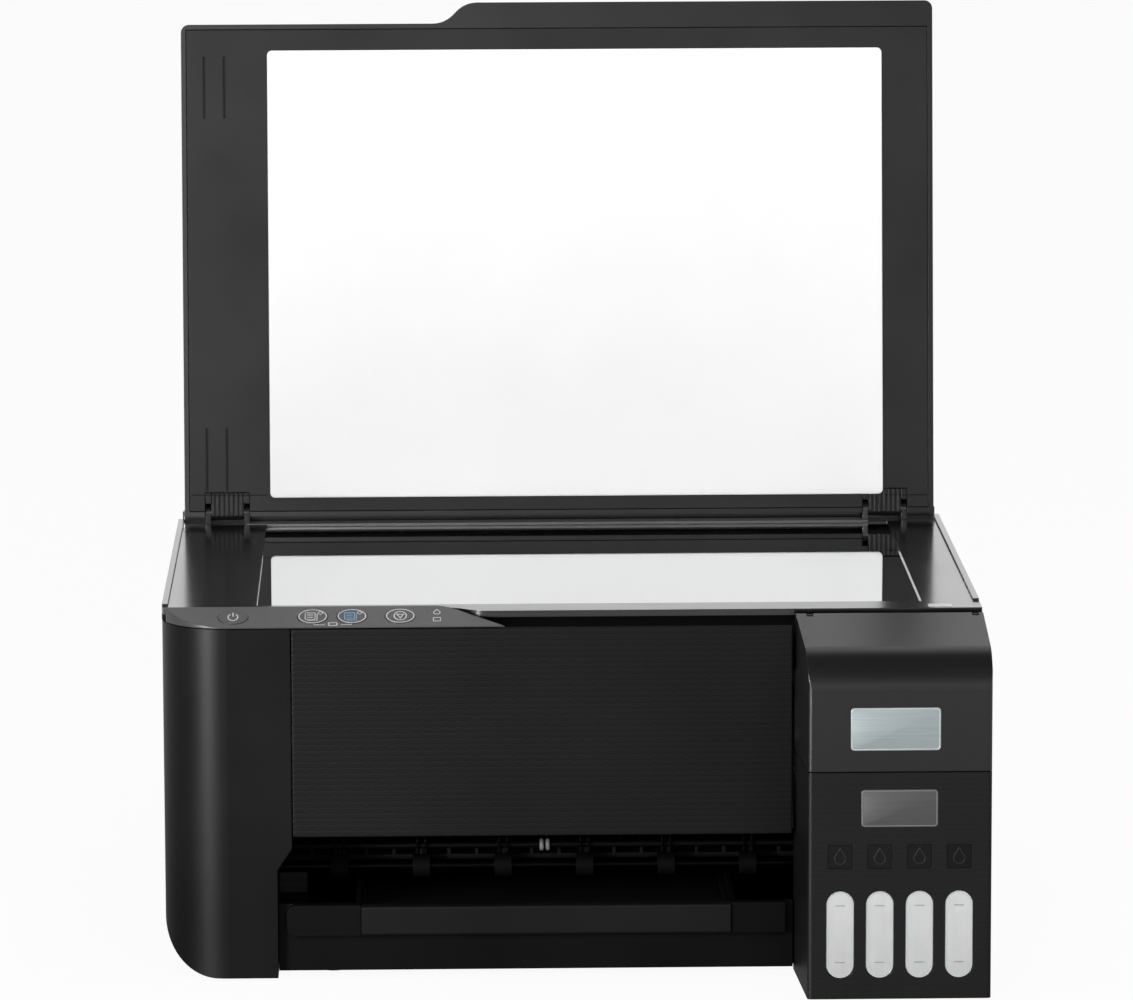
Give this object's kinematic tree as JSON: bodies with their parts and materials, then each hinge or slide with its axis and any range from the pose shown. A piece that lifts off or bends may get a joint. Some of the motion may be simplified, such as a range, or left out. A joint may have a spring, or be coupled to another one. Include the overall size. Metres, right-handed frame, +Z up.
{
  "type": "inkjet printer",
  "caption": "Black desktop inkjet printer with a flatbed scanner on top, a hinged lid, a sloping key panel, refillable ink tanks at the front right and a pull-out paper tray.",
  "frame": {"origin": "on the table, under the middle of the printer's box", "axes": "+X to the right seen from the front, +Y to the back, +Z up"},
  "size_m": [0.375, 0.347, 0.424],
  "materials": {
    "lower_case": "satin moulded",
    "left_side_cover": "satin moulded",
    "right_side_cover": "satin moulded",
    "rear_cover": "satin moulded",
    "front_panel": "textured moulding",
    "rubber_feet": "matte",
    "frame_screws": "plated",
    "main_frame": "galvanised",
    "carriage_rail": "ground",
    "carriage": "moulded",
    "print_head": "moulded",
    "carriage_motor": "plated",
    "motor_pulley": "moulded",
    "idler_pulley": "moulded",
    "carriage_belt": "matte",
    "platen": "moulded",
    "pinch_rollers": "moulded",
    "capping_station": "moulded",
    "feed_motor": "plated",
    "feed_roller": "grit coated",
    "feed_gear": "moulded",
    "idler_gear": "moulded",
    "eject_gear": "moulded",
    "motor_pinion": "machined",
    "eject_roller": "matte",
    "star_wheels": "thin steel stars on moulded hubs",
    "rear_feed_hopper": "moulded",
    "scanner_hinge_pins": "ground",
    "load_roller": "matte",
    "paper_support": "satin moulded",
    "edge_guide": "moulded",
    "feeder_guard": "satin moulded",
    "output_tray": "satin moulded",
    "tray_extension": "satin moulded",
    "paper_stopper": "satin moulded",
    "tank_housing": "fine grained",
    "ink_tanks": "milky translucent",
    "ink_tank_cover": "fine grained",
    "tank_cap_black": "moulded",
    "tank_cap_yellow": "moulded",
    "tank_cap_magenta": "moulded",
    "tank_cap_cyan": "moulded",
    "scanner_base": "satin moulded",
    "scanner_bezel": "semi-gloss moulded",
    "scanner_glass": "polished",
    "lid_hinge_pins": "ground",
    "cis_rail": "ground",
    "cis_module": "moulded",
    "control_panel": "satin moulded",
    "button_power": "satin",
    "button_copy_mono": "satin",
    "button_copy_colour": "satin",
    "button_stop": "satin",
    "lid_shell": "satin moulded",
    "lid_liner": "satin moulded",
    "lid_pad": "matte film on foam",
    "main_board": "lacquered board",
    "power_supply": "moulded",
    "ac_inlet": "moulded",
    "usb_port": "plated shell"
  },
  "bodies": {
    "chassis": {"lower_case": "lower_case", "left_side_cover": "left_side_cover", "right_side_cover": "right_side_cover", "rear_cover": "rear_cover", "front_panel": "front_panel", "rubber_feet": "rubber_feet", "frame_screws": "frame_screws", "main_frame": "main_frame", "carriage_rail": "carriage_rail", "carriage_motor": "carriage_motor", "carriage_belt": "carriage_belt", "platen": "platen", "pinch_rollers": "pinch_rollers", "capping_station": "capping_station", "feed_motor": "feed_motor", "rear_feed_hopper": "rear_feed_hopper", "scanner_hinge_pins": "scanner_hinge_pins", "tank_housing": "tank_housing", "ink_tanks": "ink_tanks", "main_board": "main_board", "power_supply": "power_supply", "ac_inlet": "ac_inlet", "usb_port": "usb_port"},
    "tank_cover": {"ink_tank_cover": "ink_tank_cover"},
    "cap_black": {"tank_cap_black": "tank_cap_black"},
    "cap_yellow": {"tank_cap_yellow": "tank_cap_yellow"},
    "cap_magenta": {"tank_cap_magenta": "tank_cap_magenta"},
    "cap_cyan": {"tank_cap_cyan": "tank_cap_cyan"},
    "scanner_unit": {"scanner_base": "scanner_base", "scanner_bezel": "scanner_bezel", "scanner_glass": "scanner_glass", "cis_rail": "cis_rail", "control_panel": "control_panel", "lid_hinge_pins": "lid_hinge_pins"},
    "scan_bar": {"cis_module": "cis_module"},
    "power_key": {"button_power": "button_power"},
    "mono_key": {"button_copy_mono": "button_copy_mono"},
    "colour_key": {"button_copy_colour": "button_copy_colour"},
    "stop_key": {"button_stop": "button_stop"},
    "document_lid": {"lid_shell": "lid_shell", "lid_liner": "lid_liner", "lid_pad": "lid_pad"},
    "print_carriage": {"carriage": "carriage", "print_head": "print_head"},
    "driven_pulley": {"motor_pulley": "motor_pulley"},
    "tension_pulley": {"idler_pulley": "idler_pulley"},
    "feed_shaft": {"feed_roller": "feed_roller", "feed_gear": "feed_gear"},
    "pinion": {"motor_pinion": "motor_pinion"},
    "idler": {"idler_gear": "idler_gear"},
    "eject_shaft": {"eject_roller": "eject_roller", "eject_gear": "eject_gear"},
    "stars": {"star_wheels": "star_wheels"},
    "load_shaft": {"load_roller": "load_roller"},
    "support": {"paper_support": "paper_support"},
    "side_guide": {"edge_guide": "edge_guide"},
    "guard": {"feeder_guard": "feeder_guard"},
    "tray": {"output_tray": "output_tray"},
    "extension": {"tray_extension": "tray_extension"},
    "stopper": {"paper_stopper": "paper_stopper"}
  },
  "joints": [
    {"name": "scanner_hinge", "type": "hinge", "parent": "chassis", "child": "scanner_unit", "pos_m": [0, 0.1525, 0.162], "axis": [-1, 0, 0], "range_deg": [0, 28]},
    {"name": "lid_hinge", "type": "hinge", "parent": "scanner_unit", "child": "document_lid", "pos_m": [0, 0.1352, 0.1757], "axis": [1, 0, 0], "range_deg": [0, 96.2]},
    {"name": "scan_bar_slide", "type": "slide", "parent": "scanner_unit", "child": "scan_bar", "axis": [1, 0, 0], "range_m": [0, 0.31]},
    {"name": "tank_cover_hinge", "type": "hinge", "parent": "chassis", "child": "tank_cover", "pos_m": [0.146, -0.1185, 0.1653], "axis": [-1, 0, 0], "range_deg": [0, 85]},
    {"name": "cap_black_lift", "type": "slide", "parent": "chassis", "child": "cap_black", "axis": [0, 0, 1], "range_m": [0, 0.012]},
    {"name": "cap_yellow_lift", "type": "slide", "parent": "chassis", "child": "cap_yellow", "axis": [0, 0, 1], "range_m": [0, 0.012]},
    {"name": "cap_magenta_lift", "type": "slide", "parent": "chassis", "child": "cap_magenta", "axis": [0, 0, 1], "range_m": [0, 0.012]},
    {"name": "cap_cyan_lift", "type": "slide", "parent": "chassis", "child": "cap_cyan", "axis": [0, 0, 1], "range_m": [0, 0.012]},
    {"name": "power_key_press", "type": "slide", "parent": "scanner_unit", "child": "power_key", "axis": [0, 0.3102, -0.9507], "range_m": [0, 0.0008], "stiffness_N_per_m": 500, "springref_m": -0.0008},
    {"name": "mono_key_press", "type": "slide", "parent": "scanner_unit", "child": "mono_key", "axis": [0, 0.3102, -0.9507], "range_m": [0, 0.0008], "stiffness_N_per_m": 500, "springref_m": -0.0008},
    {"name": "colour_key_press", "type": "slide", "parent": "scanner_unit", "child": "colour_key", "axis": [0, 0.3102, -0.9507], "range_m": [0, 0.0008], "stiffness_N_per_m": 500, "springref_m": -0.0008},
    {"name": "stop_key_press", "type": "slide", "parent": "scanner_unit", "child": "stop_key", "axis": [0, 0.3102, -0.9507], "range_m": [0, 0.0008], "stiffness_N_per_m": 500, "springref_m": -0.0008},
    {"name": "carriage_slide", "type": "slide", "parent": "chassis", "child": "print_carriage", "axis": [1, 0, 0], "range_m": [-0.229, 0]},
    {"name": "driven_pulley_spin", "type": "hinge", "parent": "chassis", "child": "driven_pulley", "pos_m": [0.15, 0.0335, 0.094], "axis": [0, 1, 0], "continuous": true},
    {"name": "tension_pulley_spin", "type": "hinge", "parent": "chassis", "child": "tension_pulley", "pos_m": [-0.14, 0.0335, 0.094], "axis": [0, 1, 0], "continuous": true},
    {"name": "feed_roller_spin", "type": "hinge", "parent": "chassis", "child": "feed_shaft", "pos_m": [0, 0.018, 0.0415], "axis": [1, 0, 0], "continuous": true},
    {"name": "pinion_spin", "type": "hinge", "parent": "chassis", "child": "pinion", "pos_m": [-0.167, -0.0017, 0.06672], "axis": [1, 0, 0], "continuous": true},
    {"name": "idler_spin", "type": "hinge", "parent": "chassis", "child": "idler", "pos_m": [-0.167, -0.026, 0.0415], "axis": [1, 0, 0], "continuous": true},
    {"name": "eject_roller_spin", "type": "hinge", "parent": "chassis", "child": "eject_shaft", "pos_m": [0, -0.066, 0.0415], "axis": [1, 0, 0], "continuous": true},
    {"name": "star_wheel_spin", "type": "hinge", "parent": "chassis", "child": "stars", "pos_m": [0, -0.066, 0.051], "axis": [1, 0, 0], "continuous": true},
    {"name": "load_roller_spin", "type": "hinge", "parent": "chassis", "child": "load_shaft", "pos_m": [0, 0.12668, 0.09942], "axis": [1, 0, 0], "continuous": true},
    {"name": "support_slide", "type": "slide", "parent": "chassis", "child": "support", "axis": [0, 0.309, 0.9511], "range_m": [0, 0.082]},
    {"name": "edge_guide_slide", "type": "slide", "parent": "chassis", "child": "side_guide", "axis": [1, 0, 0], "range_m": [0, 0.09]},
    {"name": "feeder_guard_hinge", "type": "hinge", "parent": "chassis", "child": "guard", "pos_m": [0, 0.1558, 0.1665], "axis": [1, 0, 0], "range_deg": [0, 80]},
    {"name": "tray_slide", "type": "slide", "parent": "chassis", "child": "tray", "axis": [0, -1, 0], "range_m": [0, 0.07]},
    {"name": "extension_slide", "type": "slide", "parent": "tray", "child": "extension", "axis": [0, -1, 0], "range_m": [0, 0.08]},
    {"name": "stopper_hinge", "type": "hinge", "parent": "extension", "child": "stopper", "pos_m": [-0.01235, -0.111, 0.0277], "axis": [1, 0, 0], "range_deg": [0, 80]}
  ],
  "couplings": [
    {"joint": "driven_pulley_spin", "follows": "carriage_slide", "rad_per_m": -158.73},
    {"joint": "tension_pulley_spin", "follows": "carriage_slide", "rad_per_m": -158.73},
    {"joint": "pinion_spin", "follows": "feed_roller_spin", "ratio": -3},
    {"joint": "idler_spin", "follows": "feed_roller_spin", "ratio": -1.2},
    {"joint": "eject_roller_spin", "follows": "feed_roller_spin", "ratio": 1.2},
    {"joint": "star_wheel_spin", "follows": "feed_roller_spin", "ratio": -1.56}
  ]
}
